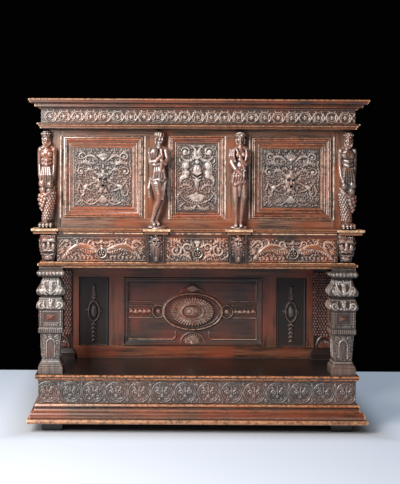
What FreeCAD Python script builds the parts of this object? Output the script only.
"""Carved walnut court cupboard on a plinth.

An open lower stage stands on a deep plinth, between two square carved posts and a
panelled back. Above it come three drawers between mask blocks, and a cupboard with
two doors, a fixed centre panel and four carved figures under a frieze and cornice.
Millimetres, +Z up, front towards -Y. The origin is on the floor, under the middle.
"""
import FreeCAD
import Part

import math
import os

from FreeCAD import Vector

# Heights of the stages, from the floor up
FOOT_HEIGHT = 48.0
BASE_MOULDING_HEIGHT = 93.0
PLINTH_FRIEZE_HEIGHT = 114.0
POT_BOARD_THICKNESS = 30.0
POST_HEIGHT = 532.0
STAGE_FLOOR_THICKNESS = 28.0
DRAWER_STAGE_HEIGHT = 142.0
WAIST_BOARD_THICKNESS = 25.0
CUPBOARD_HEIGHT = 503.0
ARCHITRAVE_HEIGHT = 26.0
FRIEZE_HEIGHT = 71.0
CORNICE_HEIGHT = 49.0

# Plan of the whole
DEPTH = 555.0
PLINTH_HALF_WIDTH = 793.0
STAGE_INSET = 8.0
CUPBOARD_INSET = 20.0
FRIEZE_OVERHANG = 21.0
STAGE_SETBACK = 21.0
CUPBOARD_SETBACK = 84.0
FRIEZE_SETBACK = 10.0
BACK_PANELLING_SETBACK = 55.0

# How far each moulding stands out from the face that carries it
BASE_PROJECTION = 53.0
POT_BOARD_PROJECTION = 16.0
STAGE_FLOOR_PROJECTION = 16.0
WAIST_PROJECTION = 11.0
ARCHITRAVE_PROJECTION = 20.0
CORNICE_PROJECTION = 60.0
CORNICE_SEAT = 10.0

# Boards
CASE_BOARD = 22.0
FRAME_BOARD = 24.0
PANEL_BOARD = 14.0
BACK_BOARD = 12.0
SHELF_BOARD = 18.0
ROOF_BOARD = 12.0

# Feet
FOOT_WIDTH = 107.0
FOOT_SETBACK = 14.0
FOOT_TAPER = 4.0

# Plinth roundels
ROUNDEL_COUNT = 14
ROUNDEL_RADIUS = 43.0
ROUNDEL_RISE = 4.0
BUTTON_RISE = 3.0
ROUNDEL_END_MARGIN = 45.0
BUTTON_RADIUS = 15.0

# Front posts
POST_HALF_WIDTH = 67.5
POST_BLOCK_HALF_WIDTH = 60.0
POST_SETBACK = 4.0
NICHE_WIDTH = 37.0
NICHE_DEPTH = 8.0
NICHE_FOOT = 85.0
NICHE_HEIGHT = 88.0
PYRAMID_WIDTH = 64.0
PYRAMID_HEIGHT = 43.0
PYRAMID_RISE = 13.0
PYRAMID_LEVEL = 284.0

# Rear pilasters
PILASTER_HALF_WIDTH = 76.0
PILASTER_DEPTH = 80.0
PILASTER_INSET = 77.0

# Panelling at the back of the open stage
BACK_FRAME_BOARD = 30.0
BACK_PANEL_SETBACK = 8.0
BACK_BOTTOM_RAIL = 66.0
BACK_TOP_RAIL = 92.0
BACK_SIDE_PANEL_WIDTH = 165.72
BACK_STILE_WIDTH = 74.0
BACK_MOULDING_WIDTH = 30.0
BACK_MOULDING_RISE = 13.0
CARTOUCHE_HALF_WIDTH = 167.0
CARTOUCHE_HALF_HEIGHT = 105.0
CARTOUCHE_RISE = 7.0
GADROON_HALF_WIDTH = 117.0
GADROON_HALF_HEIGHT = 77.0
GADROON_RISE = 15.0
BOSS_HALF_WIDTH = 55.0
BOSS_HALF_HEIGHT = 39.0
BOSS_RISE = 24.0
STRAP_END_GAP = 4.0
STRAP_HALF_HEIGHT = 33.0
STRAP_RISE = 6.0
SIDE_CARTOUCHE_HALF_WIDTH = 32.0
SIDE_CARTOUCHE_HALF_HEIGHT = 59.0
SIDE_CARTOUCHE_RISE = 9.0

# Drawer stage
CORNER_BLOCK_WIDTH = 78.0
CORNER_BLOCK_DEPTH = 92.0
INNER_BLOCK_PLACE = 206.0
INNER_BLOCK_WIDTH = 95.0
INNER_BLOCK_DEPTH = 20.0
BLOCK_PROUD = 6.0
MASK_RISE = 20.0
MASK_HALF_HEIGHT = 54.0
DRAWER_RAIL_HEIGHT = 14.0
DIVIDER_BOARD = 20.0
GUIDE_WIDTH = 16.0
GUIDE_HEIGHT = 30.0

# Drawers
DRAWER_GAP = 2.5
RUNNING_GAP = 0.3
DRAWER_FRONT_BOARD = 20.0
DRAWER_SIDE_BOARD = 11.0
DRAWER_BOTTOM_BOARD = 8.0
DRAWER_BOTTOM_RAISE = 6.0
DRAWER_SIDE_GAP = 1.5
DRAWER_TOP_GAP = 8.0
DRAWER_BACK_GAP = 59.0

# Ring pulls
RING_RADIUS = 23.0
RING_WIRE = 3.0
RING_SIDES = 20
RING_WIRE_SIDES = 5
RING_STANDOFF = 9.0
EYE_CLEARANCE = 0.8
EYE_WALL = 2.6
EYE_HALF_WIDTH = 2.2
EYE_SIDES = 12
STEM_HALF_WIDTH = 2.0
ROSETTE_RADIUS = 10.0
ROSETTE_THICKNESS = 1.5
PULL_RAISE = 5.0

# Caps under the figures
CAP_HALF_WIDTH = 67.5
CAP_HEIGHT = 25.0
CAP_PROUD = 32.0
CAP_CORNER_INSET = 20.5

# Cupboard front
BOTTOM_RAIL = 48.0
TOP_RAIL = 34.0
CORNER_STILE_WIDTH = 79.0
CENTRE_HALF_WIDTH = 139.5
INNER_STILE_WIDTH = 130.0
STILE_BEAD_RADIUS = 3.5
CENTRE_FRAME_WIDTH = 36.0
CENTRE_FRAME_RISE = 8.0
CENTRE_PANEL_RECESS = 6.0
SHELF_SHARE = 0.5
SHELF_CLEARANCE = 40.0
CLEAT = 16.0
BACK_BOARD_COUNT = 4
SIDE_STILE_WIDTH = 62.0

# Doors
DOOR_HINGE_GAP = 3.0
DOOR_CLOSING_GAP = 2.5
DOOR_LEVEL_GAP = 1.5
DOOR_STILE_WIDTH = 58.0
DOOR_PANEL_RECESS = 4.0
DOOR_MOULDING_MARGIN = 7.0
DOOR_MOULDING_WIDTH = 34.0
DOOR_MOULDING_RISE = 15.0
DOOR_MASK_HALF_WIDTH = 36.0
DOOR_MASK_HALF_HEIGHT = 58.0
DOOR_MASK_RISE = 20.0
KEYHOLE_WIDTH = 4.0
KEYHOLE_HEIGHT = 13.0
LOCK_WIDTH = 70.0
LOCK_HEIGHT = 56.0
LOCK_DEPTH = 14.0
LOCK_PLATE = 2.0
BOLT_HEIGHT = 16.0
BOLT_DEPTH = 6.0
LOCK_END_WALL = 12.0
BOLT_CLEARANCE = 0.5

# Butt hinges, with their leaves in the joint beside the door
HINGE_HEIGHT = 66.0
HINGE_INSET = 70.0
KNUCKLE_RADIUS = 4.0
KNUCKLE_GAP = 0.4
PIN_RADIUS = 2.0
PIN_CLEARANCE = 0.05
KNUCKLE_FACETS = 8
LEAF_THICKNESS = 1.3
LEAF_DEPTH = 20.0

# Figures
FIGURE_CLEARANCE = 4.0
CORNER_FIGURE_INSET = 9.0
CORNER_FIGURE_HALF_WIDTH = 52.0
INNER_FIGURE_HALF_WIDTH = 59.0
FIGURE_DEPTH = 76.0
BODY_FACETS = 8
LIMB_FACETS = 5
MASK_FACETS = 8
OVAL_FACETS = 16
ROUNDEL_FACETS = 8

# One overrun for every cut, how far four corners may lie off one plane, and when two points are one
CUT_OVERRUN = 1.0
FLATNESS = 0.0001
SAME_POINT = 0.000001

# Outlines of the mouldings, from the carcase out and from the bottom up:
# share of the projection, share of the height, bulge of the stretch that ends there
BASE_SHARES = [
    (0.80, 0.00, 0.0), (0.80, 0.24, 0.5), (0.74, 0.26, 0.0), (0.74, 0.40, 0.0),
    (0.52, 0.60, 0.16), (0.30, 0.80, -0.16), (0.22, 0.80, 0.0), (0.32, 0.88, 0.0), (0.22, 0.98, 0.0),
    (0.0, 1.0, 0.0),
]
BOARD_EDGE_SHARES = [
    (0.20, 0.00, 0.0), (0.55, 0.30, -0.20), (0.70, 0.30, 0.0), (0.70, 0.96, 0.45), (0.0, 1.0, 0.0),
]
STAGE_FLOOR_SHARES = [
    (0.35, 0.00, 0.0), (0.70, 0.30, -0.20), (0.80, 0.32, 0.0), (0.80, 0.75, 0.45), (0.30, 0.82, 0.0),
    (0.0, 1.0, 0.0),
]
ARCHITRAVE_SHARES = [
    (0.30, 0.00, 0.0), (0.30, 0.34, 0.0), (0.55, 0.36, 0.0), (0.95, 0.78, -0.18), (1.0, 0.80, 0.0),
    (1.0, 1.0, 0.0),
]
CORNICE_SHARES = [
    (0.10, 0.00, 0.0), (0.40, 0.22, -0.20), (0.52, 0.22, 0.0), (0.52, 0.48, 0.0), (0.62, 0.50, 0.0),
    (0.92, 0.70, 0.16), (0.92, 0.76, 0.0), (0.92, 1.0, 0.40),
]
WAIST_SHARES = [
    (0.15, 0.00, 0.0), (0.40, 0.40, 0.0), (0.60, 0.42, 0.0), (0.60, 0.98, 0.45), (0.0, 1.0, 0.0),
]
CAP_SHARES = [
    (0.84, 0.00, 0.0), (0.84, 0.22, 0.0), (0.90, 0.42, 0.0), (0.96, 0.58, 0.0), (1.0, 0.60, 0.0),
    (1.0, 1.0, 0.0),
]
# Outlines of the picture mouldings: share of the width from the outer edge, share of the rise, bulge
DOOR_MOULDING_SHARES = [
    (0.00, 0.45, 0.0), (0.16, 0.45, 0.0), (0.20, 0.85, 0.0), (0.44, 1.00, 0.25), (0.62, 0.62, -0.16),
    (0.84, 0.36, 0.0), (1.00, 0.30, 0.0),
]
BACK_MOULDING_SHARES = [
    (0.00, 0.60, 0.0), (0.30, 1.00, 0.25), (0.62, 0.50, -0.18), (0.80, 0.50, 0.0), (1.00, 0.25, 0.0),
]
# Section of the upright beads, in shares of their radius
BEAD_SHARES = [(-1.0, 0.0), (1.0, 0.0), (0.6, 0.8), (-0.6, 0.8)]
# Half widths and heights of the square pieces, bottom to top
POST_SHARES = [
    (0.89, 0.000, 0.0), (0.89, 0.062, 0.0), (0.87, 0.064, 0.0), (0.86, 0.076, 0.0), (0.67, 0.122, 0.0),
    (0.64, 0.134, 0.0), (0.76, 0.380, 0.0), (0.90, 0.388, 0.0), (0.90, 0.430, 0.0), (0.86, 0.438, 0.0),
    (0.87, 0.602, 0.0), (1.00, 0.640, 0.16), (0.84, 0.718, 0.0), (0.76, 0.720, 0.0), (0.76, 0.734, 0.0),
    (0.96, 0.745, 0.0), (0.98, 0.800, 0.16), (0.62, 0.908, -0.10), (0.62, 0.916, 0.0), (0.90, 0.918, 0.0),
    (0.90, 0.978, 0.24), (0.86, 0.980, 0.0), (0.86, 1.000, 0.0),
]
PILASTER_SHARES = [
    (1.00, 0.000, 0.0), (1.00, 0.060, 0.0), (0.82, 0.100, 0.0), (0.78, 0.102, 0.0), (0.78, 0.900, 0.0),
    (0.90, 0.930, 0.0), (0.90, 1.000, 0.0),
]

# Figures, in shares of their own half width, depth and height:
# across, out from the stile, up, half breadth, half depth
HERM_BODY_SHARES = [
    [(0.0, 0.50, 0.00, 0.72, 0.46), (0.0, 0.52, 0.045, 0.84, 0.48), (0.0, 0.50, 0.085, 0.56, 0.40)],
    [(0.0, 0.50, 0.08, 0.46, 0.36), (0.0, 0.50, 0.18, 0.52, 0.38), (0.0, 0.50, 0.30, 0.64, 0.42),
     (0.0, 0.50, 0.38, 0.78, 0.46)],
    [(0.0, 0.50, 0.36, 0.76, 0.42), (0.0, 0.54, 0.41, 0.98, 0.46), (0.0, 0.54, 0.48, 0.96, 0.46),
     (0.0, 0.50, 0.54, 0.72, 0.40)],
    [(0.0, 0.50, 0.52, 0.66, 0.38), (0.0, 0.50, 0.62, 0.64, 0.38), (0.0, 0.52, 0.72, 0.76, 0.44),
     (0.0, 0.50, 0.79, 0.90, 0.40), (0.0, 0.48, 0.835, 0.44, 0.26)],
    [(0.0, 0.48, 0.82, 0.28, 0.24), (0.0, 0.50, 0.86, 0.36, 0.30), (0.0, 0.52, 0.90, 0.48, 0.38),
     (0.0, 0.50, 0.955, 0.50, 0.40), (0.0, 0.48, 1.00, 0.26, 0.22)],
    [(0.0, 0.70, 0.905, 0.34, 0.18), (0.0, 0.76, 0.865, 0.32, 0.18), (0.0, 0.70, 0.815, 0.14, 0.10)],
]
HERM_ARM_SHARES = [
    (0.80, 0.48, 0.805, 0.24, 0.28), (0.85, 0.46, 0.70, 0.16, 0.24), (0.86, 0.50, 0.60, 0.14, 0.20),
    (0.84, 0.60, 0.51, 0.13, 0.16), (0.72, 0.74, 0.45, 0.17, 0.16),
]
WOMAN_BODY_SHARES = [
    [(0.0, 0.50, 0.00, 0.80, 0.46), (0.0, 0.50, 0.022, 0.74, 0.42)],
    [(0.0, 0.50, 0.42, 0.60, 0.40), (0.0, 0.52, 0.50, 0.74, 0.44), (0.0, 0.50, 0.58, 0.56, 0.36),
     (0.0, 0.50, 0.65, 0.50, 0.32)],
    [(0.0, 0.50, 0.63, 0.50, 0.32), (0.0, 0.54, 0.70, 0.58, 0.40), (0.0, 0.52, 0.78, 0.70, 0.36),
     (0.0, 0.48, 0.825, 0.36, 0.26)],
    [(0.0, 0.48, 0.81, 0.22, 0.20), (0.0, 0.50, 0.86, 0.26, 0.26), (0.0, 0.52, 0.89, 0.38, 0.36),
     (0.0, 0.50, 0.94, 0.46, 0.40), (0.0, 0.48, 0.99, 0.24, 0.20)],
]
STANDING_LEG_SHARES = [
    (0.26, 0.50, 0.46, 0.36, 0.34), (0.20, 0.54, 0.28, 0.23, 0.27), (0.18, 0.46, 0.20, 0.20, 0.24),
    (0.16, 0.46, 0.05, 0.13, 0.16), (0.18, 0.58, 0.015, 0.18, 0.28),
]
CROSSED_LEG_SHARES = [
    (-0.20, 0.52, 0.46, 0.38, 0.36), (0.06, 0.62, 0.29, 0.24, 0.26), (-0.10, 0.60, 0.19, 0.20, 0.22),
    (-0.28, 0.58, 0.05, 0.13, 0.15), (-0.26, 0.62, 0.015, 0.18, 0.26),
]
FOLDED_ARM_SHARES = [
    (0.66, 0.46, 0.785, 0.24, 0.28), (0.80, 0.50, 0.70, 0.18, 0.22), (0.74, 0.60, 0.63, 0.16, 0.18),
    (0.36, 0.86, 0.63, 0.14, 0.12), (0.08, 0.88, 0.65, 0.14, 0.10),
]
DRAPERY_SHARES = [
    (0.64, 0.42, 0.52, 0.26, 0.24), (0.80, 0.36, 0.40, 0.17, 0.18), (0.86, 0.34, 0.27, 0.08, 0.10),
]
APRON_SHARES = [
    (0.0, 0.58, 0.56, 0.66, 0.32), (0.0, 0.58, 0.47, 0.80, 0.36), (0.0, 0.56, 0.38, 0.66, 0.32),
]

# Masks and bosses: share of the half sizes and share of the rise, from the ground up
DOME_SHARES = [(1.0, 0.0), (0.90, 0.45), (0.62, 0.85), (0.26, 1.0)]
RING_SHARES = [(1.0, 0.0), (0.92, 1.0)]
PULL_BUTTON_SHARES = [(1.0, 0.0), (0.7, 1.0)]
LOW_DOME_SHARES = [(1.0, 0.0), (0.85, 0.6), (0.45, 1.0)]
CORNER_MASK_LEVEL_SHARES = [(0.17, 0.15), (0.46, 0.15), (0.75, 0.15)]

# Levels that follow from the heights
BASE_Z = FOOT_HEIGHT
PLINTH_TOP_Z = FOOT_HEIGHT + BASE_MOULDING_HEIGHT + PLINTH_FRIEZE_HEIGHT
POT_BOARD_TOP_Z = PLINTH_TOP_Z + POT_BOARD_THICKNESS
STAGE_FLOOR_Z = POT_BOARD_TOP_Z + POST_HEIGHT
DRAWER_Z = STAGE_FLOOR_Z + STAGE_FLOOR_THICKNESS
WAIST_Z = DRAWER_Z + DRAWER_STAGE_HEIGHT
CUPBOARD_Z = WAIST_Z + WAIST_BOARD_THICKNESS
TOP_BOARD_Z = CUPBOARD_Z + CUPBOARD_HEIGHT
FRIEZE_Z = TOP_BOARD_Z + ARCHITRAVE_HEIGHT
CORNICE_Z = FRIEZE_Z + FRIEZE_HEIGHT
DOOR_Z = CUPBOARD_Z + BOTTOM_RAIL
DOOR_TOP_Z = TOP_BOARD_Z - TOP_RAIL

# Half widths that follow from the plinth's
STAGE_HALF_WIDTH = PLINTH_HALF_WIDTH - STAGE_INSET
CUPBOARD_HALF_WIDTH = STAGE_HALF_WIDTH - CUPBOARD_INSET
FRIEZE_HALF_WIDTH = CUPBOARD_HALF_WIDTH + FRIEZE_OVERHANG
CAP_CORNER_PLACE = STAGE_HALF_WIDTH - CAP_CORNER_INSET
CORNER_FIGURE_PLACE = CUPBOARD_HALF_WIDTH - CORNER_FIGURE_INSET

# Planes that follow from the plan
BACK_Y = DEPTH / 2
PLINTH_FRONT_Y = -DEPTH / 2 + BASE_PROJECTION
STAGE_FRONT_Y = PLINTH_FRONT_Y + STAGE_SETBACK
CUPBOARD_FRONT_Y = PLINTH_FRONT_Y + CUPBOARD_SETBACK
FRIEZE_FRONT_Y = PLINTH_FRONT_Y + FRIEZE_SETBACK
BACK_FRAME_Y = BACK_Y - BACK_PANELLING_SETBACK
CORNER_STILE_X = CUPBOARD_HALF_WIDTH - CORNER_STILE_WIDTH
INNER_STILE_X = CENTRE_HALF_WIDTH + INNER_STILE_WIDTH
SIDES = {"left": -1, "right": 1}

os.makedirs("parts", exist_ok=True)
face_count = 0


def save(node, *solids):
    """Write one node as a STEP file and print what it holds."""
    global face_count
    flat = [solid for shape in solids for solid in shape.Solids]
    shape = flat[0] if len(flat) == 1 else Part.makeCompound(flat)
    face_count += len(shape.Faces)
    print(node, len(flat), "solids", len(shape.Faces), "faces", "valid" if shape.isValid() else "NOT VALID")
    shape.exportStep("parts/" + node + ".step")


def box(x0, x1, y0, y1, z0, z1):
    """Rectangular block between two corners."""
    return Part.makeBox(x1 - x0, y1 - y0, z1 - z0, Vector(x0, y0, z0))


def sided(side, x0, x1, y0, y1, z0, z1):
    """Block given on the right, placed on one side of the middle."""
    low, high = sorted((side * x0, side * x1))
    return box(low, high, y0, y1, z0, z1)


def mirror(shape):
    """Copy on the other side of the middle plane."""
    return shape.mirror(Vector(0, 0, 0), Vector(1, 0, 0))


def fuse(shapes):
    """One solid from pieces that run into each other."""
    return shapes[0].multiFuse(shapes[1:]) if len(shapes) > 1 else shapes[0]


def outline_face(loop, place):
    """Face from a loop of (u, w, bulge) points, anticlockwise, where place(u, w) gives its point."""
    edges = []
    for (u0, w0, _), (u1, w1, bulge) in zip(loop, loop[1:] + loop[:1]):
        start, end = place(u0, w0), place(u1, w1)
        if start.isEqual(end, SAME_POINT):
            continue
        if bulge:
            middle = place((u0 + u1) / 2 + bulge * (w1 - w0), (w0 + w1) / 2 - bulge * (u1 - u0))
            edges.append(Part.Arc(start, middle, end).toShape())
        else:
            edges.append(Part.makeLine(start, end))
    return Part.Face(Part.Wire(edges))


def scaled(shares, breadth, height):
    """Outline points in real sizes."""
    return [(u * breadth, w * height, bulge) for u, w, bulge in shares]


def mirrored_loop(side):
    """Closed loop from the points of its right side, bottom to top."""
    left = []
    for index in range(len(side) - 1, -1, -1):
        bulge = side[index + 1][2] if index + 1 < len(side) else 0
        left.append((-side[index][0], side[index][1], bulge))
    return list(side) + left


def plan_prism(corners, z0, z1):
    """Upright prism over a polygon of (x, y) corners."""
    points = [Vector(x, y, z0) for x, y in corners]
    return Part.Face(Part.makePolygon(points + points[:1])).extrude(Vector(0, 0, z1 - z0))


def front_prism(corners, y0, y1):
    """Prism along Y over a polygon of (x, z) corners."""
    points = [Vector(x, y0, z) for x, z in corners]
    return Part.Face(Part.makePolygon(points + points[:1])).extrude(Vector(0, y1 - y0, 0))


def mitred_run(shares, projection, height, inset, half_width, front_y, z):
    """Front, left and right lengths of one moulding, mitred at the front corners."""
    loop = [(-inset, 0, 0)] + scaled(shares, projection, height) + [(-inset, height, 0)]
    reach = projection + inset
    wide, narrow = half_width + reach, half_width - reach
    front_face = outline_face(loop, lambda u, w: Vector(-wide, front_y - u, z + w))
    corners = [(-wide, front_y - reach), (wide, front_y - reach),
               (narrow, front_y + reach), (-narrow, front_y + reach)]
    pieces = [front_face.extrude(Vector(2 * wide, 0, 0)).common(plan_prism(corners, z, z + height))]
    side_face = outline_face(loop, lambda u, w: Vector(half_width + u, front_y - reach, z + w))
    corners = [(narrow, front_y + reach), (wide, front_y - reach), (wide, BACK_Y), (narrow, BACK_Y)]
    length = Vector(0, BACK_Y - front_y + reach, 0)
    right = side_face.extrude(length).common(plan_prism(corners, z, z + height))
    return pieces + [right, mirror(right)]


def picture_moulding(shares, width, rise, x_middle, z_middle, half_width, half_height, face_y):
    """Four mitred lengths round an upright panel, standing out from the face towards -Y."""
    loop = [(0, 0, 0)] + [(u * width, -w * rise, bulge) for u, w, bulge in shares] + [(width, 0, 0)]
    back, front = face_y + CUT_OVERRUN, face_y - rise - CUT_OVERRUN
    inner_w, inner_h = half_width - width, half_height - width
    lengths = []
    for sign in (-1, 1):
        flat = outline_face(loop, lambda u, w: Vector(x_middle - half_width, face_y + w,
                                                      z_middle + sign * (half_height - u)))
        corners = [(-half_width, sign * half_height), (half_width, sign * half_height),
                   (inner_w, sign * inner_h), (-inner_w, sign * inner_h)]
        corners = [(x_middle + x, z_middle + z) for x, z in corners]
        lengths.append(flat.extrude(Vector(2 * half_width, 0, 0)).common(front_prism(corners, front, back)))
        upright = outline_face(loop, lambda u, w: Vector(x_middle + sign * (half_width - u), face_y + w,
                                                         z_middle - half_height))
        corners = [(sign * half_width, -half_height), (sign * half_width, half_height),
                   (sign * inner_w, inner_h), (sign * inner_w, -inner_h)]
        corners = [(x_middle + x, z_middle + z) for x, z in corners]
        upright = upright.extrude(Vector(0, 0, 2 * half_height))
        lengths.append(upright.common(front_prism(corners, front, back)))
    return lengths


def square_piece(shares, half_x, half_y, height, x, y, z):
    """Square-section piece with the same outline on all four faces."""
    loop_x = mirrored_loop(scaled(shares, half_x, height))
    loop_y = mirrored_loop(scaled(shares, half_y, height))
    across = outline_face(loop_x, lambda u, w: Vector(x + u, y - 2 * half_y, z + w))
    across = across.extrude(Vector(0, 4 * half_y, 0))
    along = outline_face(loop_y, lambda u, w: Vector(x - 2 * half_x, y + u, z + w))
    along = along.extrude(Vector(4 * half_x, 0, 0))
    return across.common(along)


def flat_faces(corners):
    """One face over four corners that lie flat, otherwise two triangles."""
    normal = (corners[1] - corners[0]).cross(corners[2] - corners[0])
    if abs(normal.dot(corners[3] - corners[0])) < FLATNESS * normal.Length:
        return [Part.Face(Part.makePolygon(corners + corners[:1]))]
    return [Part.Face(Part.makePolygon([corners[0], corners[n], corners[n + 1], corners[0]])) for n in (1, 2)]


def faceted_solid(rings, endless=False):
    """Solid with flat faces between many-sided rings, closed at its ends or endless."""
    faces = []
    if not endless:
        faces = [Part.Face(Part.makePolygon(ring + ring[:1])) for ring in (rings[0], rings[-1])]
    for lower, upper in zip(rings, rings[1:] + (rings[:1] if endless else [])):
        for n in range(len(lower)):
            following = (n + 1) % len(lower)
            faces.extend(flat_faces([lower[n], lower[following], upper[following], upper[n]]))
    return Part.makeSolid(Part.makeShell(faces))


def facet_ring(centre, direction, breadth, depth, facets):
    """Corners of a many-sided ring round a point, square to a direction."""
    reference = Vector(0, 0, 1) if abs(direction.y) > abs(direction.z) + abs(direction.x) else Vector(0, 1, 0)
    across = direction.cross(reference).normalize()
    outward = direction.cross(across).normalize()
    points = []
    for index in range(facets):
        turn = 2 * math.pi * index / facets
        points.append(centre + across * (breadth * math.cos(turn)) + outward * (depth * math.sin(turn)))
    return points


def limb(sections, facets):
    """Solid through rings: each section is a point with a half breadth and a half depth."""
    points = [Vector(*section[:3]) for section in sections]
    rings = []
    for index, section in enumerate(sections):
        before = points[max(index - 1, 0)]
        after = points[min(index + 1, len(points) - 1)]
        rings.append(facet_ring(points[index], (after - before).normalize(), section[3], section[4], facets))
    return faceted_solid(rings)


def raised(shares, x, y, z, half_width, half_height, rise, facets=MASK_FACETS):
    """Boss on an upright face at y, rising towards -Y."""
    sections = [(x, y - rise * up, z, half_width * share, half_height * share) for share, up in shares]
    return limb(sections, facets)


def raised_sideways(side, shares, x, y, z, half_depth, half_height, rise):
    """Boss on a side face at x, rising away from the middle."""
    sections = [(side * (x + rise * up), y, z, half_height * share, half_depth * share)
                for share, up in shares]
    return limb(sections, ROUNDEL_FACETS)


def feet():
    """Four block feet, a little narrower at the floor."""
    blocks = []
    for side in SIDES.values():
        for front in (True, False):
            x = side * (PLINTH_HALF_WIDTH - FOOT_SETBACK - FOOT_WIDTH / 2)
            inset = FOOT_SETBACK + FOOT_WIDTH / 2
            y = PLINTH_FRONT_Y + inset if front else BACK_Y - inset
            rings = []
            for half, z in ((FOOT_WIDTH / 2 - FOOT_TAPER, 0), (FOOT_WIDTH / 2, FOOT_HEIGHT)):
                rings.append([Vector(x + i * half, y + j * half, z)
                              for i, j in ((-1, -1), (1, -1), (1, 1), (-1, 1))])
            blocks.append(faceted_solid(rings))
    save("feet", *blocks)


def plinth():
    """Boards of the plinth, the roundels on its front, and the moulding planted round its foot."""
    save("base_moulding", *mitred_run(BASE_SHARES, BASE_PROJECTION, BASE_MOULDING_HEIGHT, 0,
                                      PLINTH_HALF_WIDTH, PLINTH_FRONT_Y, BASE_Z))
    board = box(-PLINTH_HALF_WIDTH, PLINTH_HALF_WIDTH, PLINTH_FRONT_Y, PLINTH_FRONT_Y + CASE_BOARD,
                BASE_Z, PLINTH_TOP_Z)
    z = PLINTH_TOP_Z - PLINTH_FRIEZE_HEIGHT / 2
    roundels = []
    for index in range(ROUNDEL_COUNT):
        x = (ROUNDEL_END_MARGIN - PLINTH_HALF_WIDTH) * (1 - 2 * index / (ROUNDEL_COUNT - 1))
        y = PLINTH_FRONT_Y
        roundels.append(raised(RING_SHARES, x, y, z, ROUNDEL_RADIUS, ROUNDEL_RADIUS, ROUNDEL_RISE,
                               ROUNDEL_FACETS))
        roundels.append(raised(RING_SHARES, x, y, z, BUTTON_RADIUS, BUTTON_RADIUS, ROUNDEL_RISE + BUTTON_RISE,
                               ROUNDEL_FACETS))
    save("plinth_front", fuse([board] + roundels))
    inner = PLINTH_HALF_WIDTH - CASE_BOARD
    back = box(-inner, inner, BACK_Y - CASE_BOARD, BACK_Y, BASE_Z, PLINTH_TOP_Z)
    ends = [sided(side, inner, PLINTH_HALF_WIDTH, PLINTH_FRONT_Y + CASE_BOARD, BACK_Y, BASE_Z, PLINTH_TOP_Z)
            for side in SIDES.values()]
    save("plinth_case", back, *ends)
    board = box(-PLINTH_HALF_WIDTH, PLINTH_HALF_WIDTH, PLINTH_FRONT_Y, BACK_Y, PLINTH_TOP_Z, POT_BOARD_TOP_Z)
    edges = mitred_run(BOARD_EDGE_SHARES, POT_BOARD_PROJECTION, POT_BOARD_THICKNESS, 0,
                       PLINTH_HALF_WIDTH, PLINTH_FRONT_Y, PLINTH_TOP_Z)
    save("pot_board", board, *edges)


def front_post(side):
    """Square carved post: block, tapering shaft with a niche, pyramid block, shoulders, bulb and roll."""
    x = side * (PLINTH_HALF_WIDTH - POST_BLOCK_HALF_WIDTH)
    y = PLINTH_FRONT_Y + POST_SETBACK + POST_BLOCK_HALF_WIDTH
    post = square_piece(POST_SHARES, POST_HALF_WIDTH, POST_HALF_WIDTH, POST_HEIGHT, x, y, POT_BOARD_TOP_Z)
    foot = POT_BOARD_TOP_Z + NICHE_FOOT
    spring = foot + NICHE_HEIGHT - NICHE_WIDTH / 2
    top = Vector(x, y, foot + NICHE_HEIGHT)
    edges = [
        Part.makeLine(Vector(x - NICHE_WIDTH / 2, y, foot), Vector(x + NICHE_WIDTH / 2, y, foot)),
        Part.makeLine(Vector(x + NICHE_WIDTH / 2, y, foot), Vector(x + NICHE_WIDTH / 2, y, spring)),
        Part.Arc(Vector(x + NICHE_WIDTH / 2, y, spring), top,
                 Vector(x - NICHE_WIDTH / 2, y, spring)).toShape(),
        Part.makeLine(Vector(x - NICHE_WIDTH / 2, y, spring), Vector(x - NICHE_WIDTH / 2, y, foot)),
    ]
    tool = Part.Face(Part.Wire(edges)).extrude(Vector(0, -POST_HALF_WIDTH, 0))
    floor_y = y - POST_HALF_WIDTH * POST_SHARES[5][0] + NICHE_DEPTH
    tool.translate(Vector(0, floor_y - y, 0))
    post = post.cut(tool)
    face = POST_HALF_WIDTH * POST_SHARES[10][0] - CUT_OVERRUN
    z = POT_BOARD_TOP_Z + PYRAMID_LEVEL
    half_w, half_h = PYRAMID_WIDTH / 2, PYRAMID_HEIGHT / 2
    corners = [Vector(x + i * half_w, y - face, z + k * half_h)
               for i, k in ((-1, -1), (1, -1), (1, 1), (-1, 1))]
    apex = Vector(x, y - face - PYRAMID_RISE, z)
    sides = [Part.Face(Part.makePolygon([corners[n], corners[(n + 1) % 4], apex, corners[n]]))
             for n in range(4)]
    base = Part.Face(Part.makePolygon(corners + corners[:1]))
    pyramid = Part.makeSolid(Part.makeShell([base] + sides))
    return post.fuse(pyramid)


def posts_and_pilasters():
    """Front posts, and the pilasters behind them against the back."""
    for name, side in SIDES.items():
        save("front_post_" + name, front_post(side))
    pilasters = []
    for side in SIDES.values():
        x = side * (PLINTH_HALF_WIDTH - PILASTER_INSET)
        whole = square_piece(PILASTER_SHARES, PILASTER_HALF_WIDTH, PILASTER_DEPTH, POST_HEIGHT,
                             x, BACK_Y, POT_BOARD_TOP_Z)
        reach = 2 * PILASTER_DEPTH
        behind = box(x - reach, x + reach, BACK_Y, BACK_Y + reach, POT_BOARD_TOP_Z, STAGE_FLOOR_Z)
        pilasters.append(whole.cut(behind))
    save("rear_pilasters", *pilasters)
    return pilasters


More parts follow.
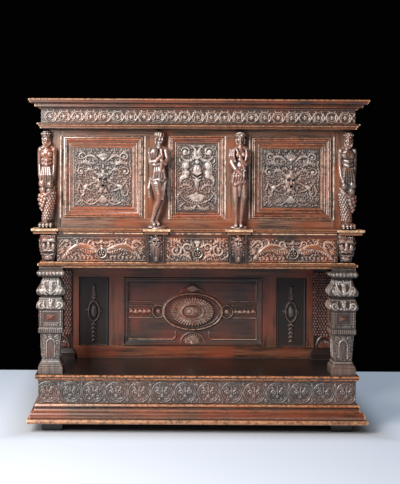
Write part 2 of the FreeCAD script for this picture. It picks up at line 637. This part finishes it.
def back_panelling(pilasters):
    """Frame, three panels and the picture moulding behind the open stage."""
    low, high = POT_BOARD_TOP_Z + BACK_BOTTOM_RAIL, STAGE_FLOOR_Z - BACK_TOP_RAIL
    edge = PLINTH_HALF_WIDTH - PILASTER_INSET
    y0, y1 = BACK_FRAME_Y, BACK_FRAME_Y + BACK_FRAME_BOARD
    outer = edge - PILASTER_HALF_WIDTH * PILASTER_SHARES[4][0] - BACK_STILE_WIDTH / 2
    stile_end = outer - BACK_SIDE_PANEL_WIDTH
    centre_half = stile_end - BACK_STILE_WIDTH
    frame = [box(-edge, edge, y0, y1, POT_BOARD_TOP_Z, low), box(-edge, edge, y0, y1, high, STAGE_FLOOR_Z)]
    for side in SIDES.values():
        frame.append(sided(side, centre_half, stile_end, y0, y1, low, high))
        frame.append(sided(side, outer, edge, y0, y1, low, high))
    frame = [piece.cut(pilasters[0]).cut(pilasters[1]) for piece in frame]
    save("lower_back_frame", *frame)
    panel_y = y0 + BACK_PANEL_SETBACK
    z = (low + high) / 2
    centre = box(-centre_half, centre_half, panel_y, panel_y + PANEL_BOARD, low, high)
    strap = centre_half - BACK_MOULDING_WIDTH - STRAP_END_GAP
    forms = [
        centre,
        raised(RING_SHARES, 0, panel_y, z, CARTOUCHE_HALF_WIDTH, CARTOUCHE_HALF_HEIGHT, CARTOUCHE_RISE,
               OVAL_FACETS),
        raised(DOME_SHARES, 0, panel_y, z, GADROON_HALF_WIDTH, GADROON_HALF_HEIGHT, GADROON_RISE,
               OVAL_FACETS),
        raised(DOME_SHARES, 0, panel_y, z, BOSS_HALF_WIDTH, BOSS_HALF_HEIGHT, BOSS_RISE, OVAL_FACETS),
        box(-strap, strap, panel_y - STRAP_RISE, panel_y, z - STRAP_HALF_HEIGHT, z + STRAP_HALF_HEIGHT),
    ]
    save("lower_back_centre_panel", fuse(forms))
    save("lower_back_moulding", *picture_moulding(
        BACK_MOULDING_SHARES, BACK_MOULDING_WIDTH, BACK_MOULDING_RISE, 0, z,
        centre_half, (high - low) / 2, panel_y))
    side_panels = []
    for side in SIDES.values():
        board = sided(side, stile_end, outer, panel_y, panel_y + PANEL_BOARD, low, high)
        x = side * (stile_end + outer) / 2
        oval = raised(DOME_SHARES, x, panel_y, z, SIDE_CARTOUCHE_HALF_WIDTH, SIDE_CARTOUCHE_HALF_HEIGHT,
                      SIDE_CARTOUCHE_RISE)
        side_panels.append(fuse([board, oval]))
    save("lower_back_side_panels", *side_panels)


def drawer_stage():
    """Floor with its moulding, mask blocks, ends, dividers, guides, top rail and back."""
    board = box(-STAGE_HALF_WIDTH, STAGE_HALF_WIDTH, STAGE_FRONT_Y, BACK_Y, STAGE_FLOOR_Z, DRAWER_Z)
    run = mitred_run(STAGE_FLOOR_SHARES, STAGE_FLOOR_PROJECTION, STAGE_FLOOR_THICKNESS, 0,
                     STAGE_HALF_WIDTH, STAGE_FRONT_Y, STAGE_FLOOR_Z)
    save("lower_waist_moulding", *run)
    block_front = STAGE_FRONT_Y - BLOCK_PROUD
    corner_back = STAGE_FRONT_Y + CORNER_BLOCK_DEPTH
    corner_x = STAGE_HALF_WIDTH - CORNER_BLOCK_WIDTH
    corners, inners, case = [], [], []
    for side in SIDES.values():
        block = sided(side, corner_x, STAGE_HALF_WIDTH, block_front, corner_back, DRAWER_Z, WAIST_Z)
        forms = [block]
        for level, half in CORNER_MASK_LEVEL_SHARES:
            z = DRAWER_Z + level * DRAWER_STAGE_HEIGHT
            x = corner_x + CORNER_BLOCK_WIDTH / 2
            y = (block_front + corner_back) / 2
            rise = MASK_RISE - BLOCK_PROUD
            forms.append(raised(LOW_DOME_SHARES, side * x, block_front, z, CORNER_BLOCK_WIDTH / 2,
                                half * DRAWER_STAGE_HEIGHT, rise, ROUNDEL_FACETS))
            forms.append(raised_sideways(side, LOW_DOME_SHARES, STAGE_HALF_WIDTH, y, z,
                                         CORNER_BLOCK_WIDTH / 2, half * DRAWER_STAGE_HEIGHT, rise))
        corners.append(fuse(forms))
        x0, x1 = INNER_BLOCK_PLACE - INNER_BLOCK_WIDTH / 2, INNER_BLOCK_PLACE + INNER_BLOCK_WIDTH / 2
        rail_z = WAIST_Z - DRAWER_RAIL_HEIGHT
        block = sided(side, x0, x1, block_front, STAGE_FRONT_Y + INNER_BLOCK_DEPTH, DRAWER_Z, WAIST_Z)
        z = DRAWER_Z + DRAWER_STAGE_HEIGHT / 2
        face = raised(DOME_SHARES, side * INNER_BLOCK_PLACE, block_front, z,
                      INNER_BLOCK_WIDTH / 2 - FOOT_TAPER, MASK_HALF_HEIGHT, MASK_RISE)
        inners.append(fuse([block, face]))
        case.append(sided(side, x0, x1, STAGE_FRONT_Y + INNER_BLOCK_DEPTH,
                          STAGE_FRONT_Y + 2 * INNER_BLOCK_DEPTH, DRAWER_Z, WAIST_Z))
        middle = INNER_BLOCK_PLACE
        divider_front = STAGE_FRONT_Y + 2 * INNER_BLOCK_DEPTH
        case.append(sided(side, middle - DIVIDER_BOARD / 2, middle + DIVIDER_BOARD / 2, divider_front,
                          BACK_Y - BACK_BOARD, DRAWER_Z, WAIST_Z))
        for low in (x0, x1 - GUIDE_WIDTH):
            case.append(sided(side, low, low + GUIDE_WIDTH, divider_front, BACK_Y - BACK_BOARD,
                              DRAWER_Z, DRAWER_Z + GUIDE_HEIGHT))
        case.append(sided(side, corner_x, corner_x + GUIDE_WIDTH, corner_back, BACK_Y - BACK_BOARD,
                          DRAWER_Z, DRAWER_Z + GUIDE_HEIGHT))
        case.append(sided(side, STAGE_HALF_WIDTH - CASE_BOARD, STAGE_HALF_WIDTH, corner_back,
                          BACK_Y - BACK_BOARD, DRAWER_Z, WAIST_Z))
        case.append(sided(side, x1, corner_x, STAGE_FRONT_Y, STAGE_FRONT_Y + DRAWER_FRONT_BOARD,
                          rail_z, WAIST_Z))
    case.append(box(-x0, x0, STAGE_FRONT_Y, STAGE_FRONT_Y + DRAWER_FRONT_BOARD, rail_z, WAIST_Z))
    case.append(box(-STAGE_HALF_WIDTH, STAGE_HALF_WIDTH, BACK_Y - BACK_BOARD, BACK_Y, DRAWER_Z, WAIST_Z))
    save("corner_mask_blocks", *corners)
    save("inner_mask_blocks", *inners)
    save("drawer_stage_case", board, *case)


def ring_pull(x, y, z):
    """Faceted wire ring that hangs from the point (x, y, z), its pivot."""
    rings = []
    for index in range(RING_SIDES):
        turn = 2 * math.pi * index / RING_SIDES
        outward = Vector(math.sin(turn), 0, math.cos(turn))
        centre = Vector(x, y, z - RING_RADIUS) + outward * RING_RADIUS
        points = []
        for corner in range(RING_WIRE_SIDES):
            roll = 2 * math.pi * corner / RING_WIRE_SIDES
            points.append(centre + outward * (RING_WIRE * math.cos(roll))
                          + Vector(0, RING_WIRE * math.sin(roll), 0))
        rings.append(points)
    return faceted_solid(rings, endless=True)


def ring_staple(x, face_y, z):
    """Rosette on the drawer front with an eye on a stem, which the ring passes through."""
    bore = RING_WIRE + EYE_CLEARANCE
    ends = (x - EYE_HALF_WIDTH, x + EYE_HALF_WIDTH)
    eye, hole = [limb([(end, face_y - RING_STANDOFF, z, radius, radius) for end in ends], EYE_SIDES)
                 for radius in (bore + EYE_WALL, bore)]
    stem = box(*ends, face_y - RING_STANDOFF, face_y, z - STEM_HALF_WIDTH, z + STEM_HALF_WIDTH)
    rosette = raised(PULL_BUTTON_SHARES, x, face_y, z, ROSETTE_RADIUS, ROSETTE_RADIUS, ROSETTE_THICKNESS)
    return fuse([eye, stem, rosette]).cut(hole)


def drawer(name, x0, x1):
    """Drawer front, the box behind it, and its ring pull."""
    x0, x1 = x0 + DRAWER_GAP, x1 - DRAWER_GAP
    low = DRAWER_Z + DRAWER_GAP
    high = WAIST_Z - DRAWER_RAIL_HEIGHT - DRAWER_GAP
    front = box(x0, x1, STAGE_FRONT_Y, STAGE_FRONT_Y + DRAWER_FRONT_BOARD, low, high)
    save("drawer_" + name + "_front", front)
    y0, y1 = STAGE_FRONT_Y + DRAWER_FRONT_BOARD, BACK_Y - BACK_BOARD - DRAWER_BACK_GAP
    box_low, box_high = DRAWER_Z + RUNNING_GAP, high - DRAWER_TOP_GAP
    left, right = x0 + DRAWER_SIDE_GAP, x1 - DRAWER_SIDE_GAP
    inner_left, inner_right = left + DRAWER_SIDE_BOARD, right - DRAWER_SIDE_BOARD
    floor = box_low + DRAWER_BOTTOM_RAISE
    boards = [
        box(left, inner_left, y0, y1, box_low, box_high),
        box(inner_right, right, y0, y1, box_low, box_high),
        box(inner_left, inner_right, y1 - DRAWER_SIDE_BOARD, y1, floor + DRAWER_BOTTOM_BOARD, box_high),
        box(inner_left, inner_right, y0, y1, floor, floor + DRAWER_BOTTOM_BOARD),
    ]
    save("drawer_" + name + "_box", *boards)
    x = (x0 + x1) / 2
    z = (low + high) / 2 + PULL_RAISE
    save("drawer_" + name + "_staple", ring_staple(x, STAGE_FRONT_Y, z))
    save("drawer_" + name + "_ring", ring_pull(x, STAGE_FRONT_Y - RING_STANDOFF, z))
    print("ring pivot", name, x, STAGE_FRONT_Y - RING_STANDOFF, z)
    print("inside of drawer", name, inner_left, inner_right, y0, y1 - DRAWER_SIDE_BOARD,
          floor + DRAWER_BOTTOM_BOARD, box_high)


def waist():
    """Board between drawers and cupboard, its planted moulding and the caps under the figures."""
    board = box(-STAGE_HALF_WIDTH, STAGE_HALF_WIDTH, STAGE_FRONT_Y, BACK_Y, WAIST_Z, CUPBOARD_Z)
    save("waist_board", board)
    front = STAGE_FRONT_Y - CAP_PROUD
    caps = []
    for side in SIDES.values():
        for place in (INNER_BLOCK_PLACE, CAP_CORNER_PLACE):
            cap = square_piece(CAP_SHARES, CAP_HALF_WIDTH, CAP_HALF_WIDTH,
                               CAP_HEIGHT, side * place, front + CAP_HALF_WIDTH, CUPBOARD_Z - CAP_HEIGHT)
            stage = box(-STAGE_HALF_WIDTH, STAGE_HALF_WIDTH, STAGE_FRONT_Y, BACK_Y, DRAWER_Z, CUPBOARD_Z)
            blocks = [sided(side, INNER_BLOCK_PLACE - INNER_BLOCK_WIDTH / 2,
                            INNER_BLOCK_PLACE + INNER_BLOCK_WIDTH / 2,
                            STAGE_FRONT_Y - BLOCK_PROUD, STAGE_FRONT_Y, DRAWER_Z, WAIST_Z),
                      sided(side, STAGE_HALF_WIDTH - CORNER_BLOCK_WIDTH, STAGE_HALF_WIDTH,
                            STAGE_FRONT_Y - BLOCK_PROUD, STAGE_FRONT_Y, DRAWER_Z, WAIST_Z)]
            caps.append(cap.cut(stage).cut(blocks[0]).cut(blocks[1]))
    run = mitred_run(WAIST_SHARES, WAIST_PROJECTION, WAIST_BOARD_THICKNESS, 0,
                     STAGE_HALF_WIDTH, STAGE_FRONT_Y, WAIST_Z)
    lengths = []
    for piece in run:
        for cap in caps:
            bounds = cap.BoundBox
            piece = piece.cut(box(bounds.XMin, bounds.XMax, bounds.YMin, bounds.YMax, WAIST_Z, CUPBOARD_Z))
        lengths.append(piece)
    save("waist_moulding", *lengths)
    save("figure_caps", *caps)


def cupboard_case():
    """Sides, back boards, shelf on its cleats, and the board over it all."""
    front = CUPBOARD_FRONT_Y + FRAME_BOARD
    inner = CUPBOARD_HALF_WIDTH - CASE_BOARD
    back = BACK_Y - BACK_BOARD
    boards = []
    for side in SIDES.values():
        low, high = CUPBOARD_Z + BOTTOM_RAIL, TOP_BOARD_Z - TOP_RAIL
        first, last = front + SIDE_STILE_WIDTH, BACK_Y - SIDE_STILE_WIDTH
        boards.append(sided(side, inner, CUPBOARD_HALF_WIDTH, front, first, CUPBOARD_Z, TOP_BOARD_Z))
        boards.append(sided(side, inner, CUPBOARD_HALF_WIDTH, last, BACK_Y, CUPBOARD_Z, TOP_BOARD_Z))
        boards.append(sided(side, inner, CUPBOARD_HALF_WIDTH, first, last, CUPBOARD_Z, low))
        boards.append(sided(side, inner, CUPBOARD_HALF_WIDTH, first, last, high, TOP_BOARD_Z))
        boards.append(sided(side, inner, inner + PANEL_BOARD, first, last, low, high))
    save("cupboard_sides", *boards)
    width = 2 * inner / BACK_BOARD_COUNT
    save("cupboard_back_boards", *[box(-inner + n * width, -inner + (n + 1) * width, back, BACK_Y,
                                       CUPBOARD_Z, TOP_BOARD_Z) for n in range(BACK_BOARD_COUNT)])
    shelf_z = CUPBOARD_Z + SHELF_SHARE * CUPBOARD_HEIGHT
    shelf_front = front + SHELF_CLEARANCE
    cleats = [sided(side, inner - CLEAT, inner, shelf_front, back, shelf_z - CLEAT, shelf_z)
              for side in SIDES.values()]
    cleats.append(box(CLEAT - inner, inner - CLEAT, back - CLEAT, back, shelf_z - CLEAT, shelf_z))
    save("cupboard_shelf", box(-inner, inner, shelf_front, back, shelf_z, shelf_z + SHELF_BOARD), *cleats)
    top_half = FRIEZE_HALF_WIDTH - CASE_BOARD
    save("cupboard_top", box(-top_half, top_half, FRIEZE_FRONT_Y + CASE_BOARD, BACK_Y, TOP_BOARD_Z, FRIEZE_Z))


def cupboard_front():
    """Rails, stiles with their beads, and the fixed centre panel in its moulding."""
    y0, y1 = CUPBOARD_FRONT_Y, CUPBOARD_FRONT_Y + FRAME_BOARD
    bottom = box(-CORNER_STILE_X, CORNER_STILE_X, y0, y1, CUPBOARD_Z, DOOR_Z)
    top = box(-CORNER_STILE_X, CORNER_STILE_X, y0, y1, DOOR_TOP_Z, TOP_BOARD_Z)
    stiles, beads = [], []
    for side in SIDES.values():
        stiles.append(sided(side, CORNER_STILE_X, CUPBOARD_HALF_WIDTH, y0, y1, CUPBOARD_Z, TOP_BOARD_Z))
        stiles.append(sided(side, CENTRE_HALF_WIDTH, INNER_STILE_X, y0, y1, DOOR_Z, DOOR_TOP_Z))
        hinge_side = CORNER_STILE_X + KNUCKLE_RADIUS + STILE_BEAD_RADIUS
        for x in (hinge_side, INNER_STILE_X - STILE_BEAD_RADIUS, CENTRE_HALF_WIDTH + STILE_BEAD_RADIUS):
            section = [(u * STILE_BEAD_RADIUS, -w * STILE_BEAD_RADIUS, 0) for u, w in BEAD_SHARES]
            face = outline_face(section, lambda u, w: Vector(side * x + u, y0 + w, DOOR_Z))
            beads.append(face.extrude(Vector(0, 0, DOOR_TOP_Z - DOOR_Z)))
    save("cupboard_front_frame", bottom, top, *stiles)
    save("stile_beads", *beads)
    z = (DOOR_Z + DOOR_TOP_Z) / 2
    half_height = (DOOR_TOP_Z - DOOR_Z) / 2
    panel_y = y0 + CENTRE_PANEL_RECESS
    panel = box(-CENTRE_HALF_WIDTH, CENTRE_HALF_WIDTH, panel_y, panel_y + PANEL_BOARD, DOOR_Z, DOOR_TOP_Z)
    inner_w = CENTRE_HALF_WIDTH - CENTRE_FRAME_WIDTH
    inner_h = half_height - CENTRE_FRAME_WIDTH
    forms = [
        panel,
        raised(DOME_SHARES, 0, panel_y, z, inner_w / 3, inner_h - CENTRE_FRAME_WIDTH, DOOR_MASK_RISE),
        raised(DOME_SHARES, -inner_w / 2, panel_y, z, inner_w / 3, inner_h / 2, MASK_RISE - BLOCK_PROUD),
        raised(DOME_SHARES, inner_w / 2, panel_y, z, inner_w / 3, inner_h / 2, MASK_RISE - BLOCK_PROUD),
    ]
    save("centre_panel", fuse(forms))
    save("centre_panel_moulding", *picture_moulding(
        BACK_MOULDING_SHARES, CENTRE_FRAME_WIDTH, CENTRE_FRAME_RISE + CENTRE_PANEL_RECESS, 0, z,
        CENTRE_HALF_WIDTH, half_height, panel_y))


def hinge_levels():
    """Middle height of each of a door's two hinges."""
    return (DOOR_Z + HINGE_INSET + HINGE_HEIGHT / 2, DOOR_TOP_Z - HINGE_INSET - HINGE_HEIGHT / 2)


def knuckle(x, y, z0, z1, leaf_x0, leaf_x1, bored):
    """Length of hinge barrel with its leaf running back into the joint."""
    barrel = limb([(x, y, z, KNUCKLE_RADIUS, KNUCKLE_RADIUS) for z in (z0, z1)], KNUCKLE_FACETS)
    leaf = box(min(leaf_x0, leaf_x1), max(leaf_x0, leaf_x1), y, CUPBOARD_FRONT_Y + LEAF_DEPTH, z0, z1)
    if not bored:
        return barrel.fuse(leaf)
    return barrel.fuse(leaf).cut(Part.makeCylinder(PIN_RADIUS + PIN_CLEARANCE, z1 - z0, Vector(x, y, z0)))


def hinges(side):
    """Fixed knuckles and pins of one door, and the moving knuckles that turn on them."""
    door_edge = CORNER_STILE_X - DOOR_HINGE_GAP
    x = side * (CORNER_STILE_X - DOOR_HINGE_GAP / 2)
    y = CUPBOARD_FRONT_Y - KNUCKLE_RADIUS
    fixed, moving = [], []
    third = HINGE_HEIGHT / 3
    for z in hinge_levels():
        low = z - HINGE_HEIGHT / 2
        leaf = (side * CORNER_STILE_X, side * (CORNER_STILE_X - LEAF_THICKNESS))
        ends = [knuckle(x, y, low, low + third, *leaf, False),
                knuckle(x, y, low + 2 * third, low + 3 * third, *leaf, False)]
        pin = Part.makeCylinder(PIN_RADIUS, third, Vector(x, y, low + third))
        fixed.append(fuse([pin] + ends))
        leaf = (side * door_edge, side * (door_edge + LEAF_THICKNESS))
        moving.append(knuckle(x, y, low + third + KNUCKLE_GAP, low + 2 * third - KNUCKLE_GAP, *leaf, True))
    print("hinge axis", x, y)
    return fixed, moving


def door(name, side):
    """Framed door with its carved panel, planted moulding, lock, bolt and moving knuckles."""
    y0, y1 = CUPBOARD_FRONT_Y, CUPBOARD_FRONT_Y + FRAME_BOARD
    outer = CORNER_STILE_X - DOOR_HINGE_GAP
    inner = INNER_STILE_X + DOOR_CLOSING_GAP
    low, high = DOOR_Z + DOOR_LEVEL_GAP, DOOR_TOP_Z - DOOR_LEVEL_GAP
    x_middle, z_middle = side * (outer + inner) / 2, (low + high) / 2
    half_width, half_height = (outer - inner) / 2, (high - low) / 2
    panel_y = y0 + DOOR_PANEL_RECESS
    stiles = [sided(side, outer - DOOR_STILE_WIDTH, outer, y0, y1, low, high),
              sided(side, inner, inner + DOOR_STILE_WIDTH, y0, y1, low, high)]
    rails = [sided(side, inner + DOOR_STILE_WIDTH, outer - DOOR_STILE_WIDTH, y0, y1, z0, z1)
             for z0, z1 in ((low, low + DOOR_STILE_WIDTH), (high - DOOR_STILE_WIDTH, high))]
    key_x = side * (inner + DOOR_MOULDING_MARGIN + DOOR_MOULDING_WIDTH + KEYHOLE_WIDTH)
    keyhole = box(key_x - KEYHOLE_WIDTH / 2, key_x + KEYHOLE_WIDTH / 2, y0 - CUT_OVERRUN, y1 + CUT_OVERRUN,
                  z_middle - KEYHOLE_HEIGHT / 2, z_middle + KEYHOLE_HEIGHT / 2)
    stiles[1] = stiles[1].cut(keyhole)
    save("door_" + name + "_frame", *stiles, *rails)
    field_w, field_h = half_width - DOOR_STILE_WIDTH, half_height - DOOR_STILE_WIDTH
    panel = box(x_middle - field_w, x_middle + field_w, panel_y, panel_y + PANEL_BOARD,
                z_middle - field_h, z_middle + field_h)
    mask = raised(DOME_SHARES, x_middle, panel_y, z_middle, DOOR_MASK_HALF_WIDTH, DOOR_MASK_HALF_HEIGHT,
                  DOOR_MASK_RISE)
    save("door_" + name + "_panel", fuse([panel, mask]))
    save("door_" + name + "_moulding", *picture_moulding(
        DOOR_MOULDING_SHARES, DOOR_MOULDING_WIDTH, DOOR_MOULDING_RISE, x_middle, z_middle,
        half_width - DOOR_MOULDING_MARGIN, half_height - DOOR_MOULDING_MARGIN, y0))
    lock_x = inner + LOCK_WIDTH
    bolt_low, bolt_high = z_middle + KEYHOLE_HEIGHT / 2, z_middle + KEYHOLE_HEIGHT / 2 + BOLT_HEIGHT
    bolt_y = y1 + LOCK_PLATE
    case = sided(side, inner, lock_x, y1, y1 + LOCK_DEPTH,
                 z_middle - LOCK_HEIGHT / 2, z_middle + LOCK_HEIGHT / 2)
    bolt_end = lock_x - LOCK_END_WALL
    slot = sided(side, inner - CUT_OVERRUN, bolt_end + BOLT_CLEARANCE, bolt_y - BOLT_CLEARANCE,
                 bolt_y + BOLT_DEPTH + BOLT_CLEARANCE, bolt_low - BOLT_CLEARANCE, bolt_high + BOLT_CLEARANCE)
    save("door_" + name + "_lock", case.cut(slot))
    save("door_" + name + "_bolt", sided(side, inner, bolt_end, bolt_y, bolt_y + BOLT_DEPTH,
                                         bolt_low, bolt_high))


def figure_limb(shares, x, half_width, flip=1, facets=LIMB_FACETS):
    """Part of a figure from shares of its half width, depth and height."""
    height = TOP_BOARD_Z - CUPBOARD_Z - FIGURE_CLEARANCE
    sections = []
    for across, out, up, breadth, depth in shares:
        sections.append((x + flip * across * half_width, CUPBOARD_FRONT_Y - out * FIGURE_DEPTH,
                         CUPBOARD_Z + up * height, breadth * half_width, depth * FIGURE_DEPTH))
    return limb(sections, facets)


def trimmed(forms):
    """A figure cut back to the face of its stile behind and to the top of its cap below."""
    reach = CORNICE_PROJECTION + FRIEZE_HALF_WIDTH
    behind = box(-reach, reach, CUPBOARD_FRONT_Y, CUPBOARD_FRONT_Y + FIGURE_DEPTH, CUPBOARD_Z, TOP_BOARD_Z)
    below = box(-reach, reach, CUPBOARD_FRONT_Y - 2 * FIGURE_DEPTH, BACK_Y,
                CUPBOARD_Z - CAP_HEIGHT, CUPBOARD_Z)
    return fuse(forms).cut(behind).cut(below)


def figures():
    """Two bearded herms at the corners and two women on the inner stiles."""
    for name, side in SIDES.items():
        x = side * CORNER_FIGURE_PLACE
        forms = [figure_limb(shares, x, CORNER_FIGURE_HALF_WIDTH, facets=BODY_FACETS)
                 for shares in HERM_BODY_SHARES]
        for flip in (-1, 1):
            forms.append(figure_limb(HERM_ARM_SHARES, x, CORNER_FIGURE_HALF_WIDTH, flip))
        save("corner_figure_" + name, trimmed(forms))
        x = side * INNER_BLOCK_PLACE
        forms = [figure_limb(shares, x, INNER_FIGURE_HALF_WIDTH, facets=BODY_FACETS)
                 for shares in WOMAN_BODY_SHARES]
        forms.append(figure_limb(APRON_SHARES, x, INNER_FIGURE_HALF_WIDTH, facets=BODY_FACETS))
        forms.append(figure_limb(STANDING_LEG_SHARES, x, INNER_FIGURE_HALF_WIDTH))
        if side < 0:
            forms.append(figure_limb(CROSSED_LEG_SHARES, x, INNER_FIGURE_HALF_WIDTH))
            for flip in (-1, 1):
                forms.append(figure_limb(DRAPERY_SHARES, x, INNER_FIGURE_HALF_WIDTH, flip))
        else:
            forms.append(figure_limb(STANDING_LEG_SHARES, x, INNER_FIGURE_HALF_WIDTH, -1))
        for flip in (-1, 1):
            forms.append(figure_limb(FOLDED_ARM_SHARES, x, INNER_FIGURE_HALF_WIDTH, flip))
        save("inner_figure_" + name, trimmed(forms))


def entablature():
    """Architrave, frieze boards, cornice and the roof board inside it."""
    save("architrave", *mitred_run(ARCHITRAVE_SHARES, ARCHITRAVE_PROJECTION, ARCHITRAVE_HEIGHT, CASE_BOARD,
                                   FRIEZE_HALF_WIDTH, FRIEZE_FRONT_Y, TOP_BOARD_Z))
    inner = FRIEZE_HALF_WIDTH - CASE_BOARD
    back = FRIEZE_FRONT_Y + CASE_BOARD
    boards = [box(-FRIEZE_HALF_WIDTH, FRIEZE_HALF_WIDTH, FRIEZE_FRONT_Y, back, FRIEZE_Z, CORNICE_Z),
              box(-inner, inner, BACK_Y - CASE_BOARD, BACK_Y, FRIEZE_Z, CORNICE_Z)]
    for side in SIDES.values():
        boards.append(sided(side, inner, FRIEZE_HALF_WIDTH, back, BACK_Y, FRIEZE_Z, CORNICE_Z))
    save("frieze_boards", *boards)
    save("cornice", *mitred_run(CORNICE_SHARES, CORNICE_PROJECTION, CORNICE_HEIGHT, CORNICE_SEAT,
                                FRIEZE_HALF_WIDTH, FRIEZE_FRONT_Y, CORNICE_Z))
    roof = FRIEZE_HALF_WIDTH - CORNICE_SEAT
    save("roof_board", box(-roof, roof, FRIEZE_FRONT_Y + CORNICE_SEAT, BACK_Y,
                           CORNICE_Z, CORNICE_Z + ROOF_BOARD))


feet()
plinth()
back_panelling(posts_and_pilasters())
drawer_stage()
block_edge = INNER_BLOCK_PLACE - INNER_BLOCK_WIDTH / 2
outer_edge = INNER_BLOCK_PLACE + INNER_BLOCK_WIDTH / 2
drawer("left", CORNER_BLOCK_WIDTH - STAGE_HALF_WIDTH, -outer_edge)
drawer("middle", -block_edge, block_edge)
drawer("right", outer_edge, STAGE_HALF_WIDTH - CORNER_BLOCK_WIDTH)
waist()
cupboard_case()
cupboard_front()
all_fixed = []
for door_name, door_side in SIDES.items():
    fixed_knuckles, moving_knuckles = hinges(door_side)
    all_fixed.extend(fixed_knuckles)
    door(door_name, door_side)
    save("door_" + door_name + "_hinges", *moving_knuckles)
save("hinge_pins", *all_fixed)
figures()
entablature()
print("faces in all", face_count)
print("size", 2 * (FRIEZE_HALF_WIDTH + CORNICE_PROJECTION), DEPTH, CORNICE_Z + CORNICE_HEIGHT)
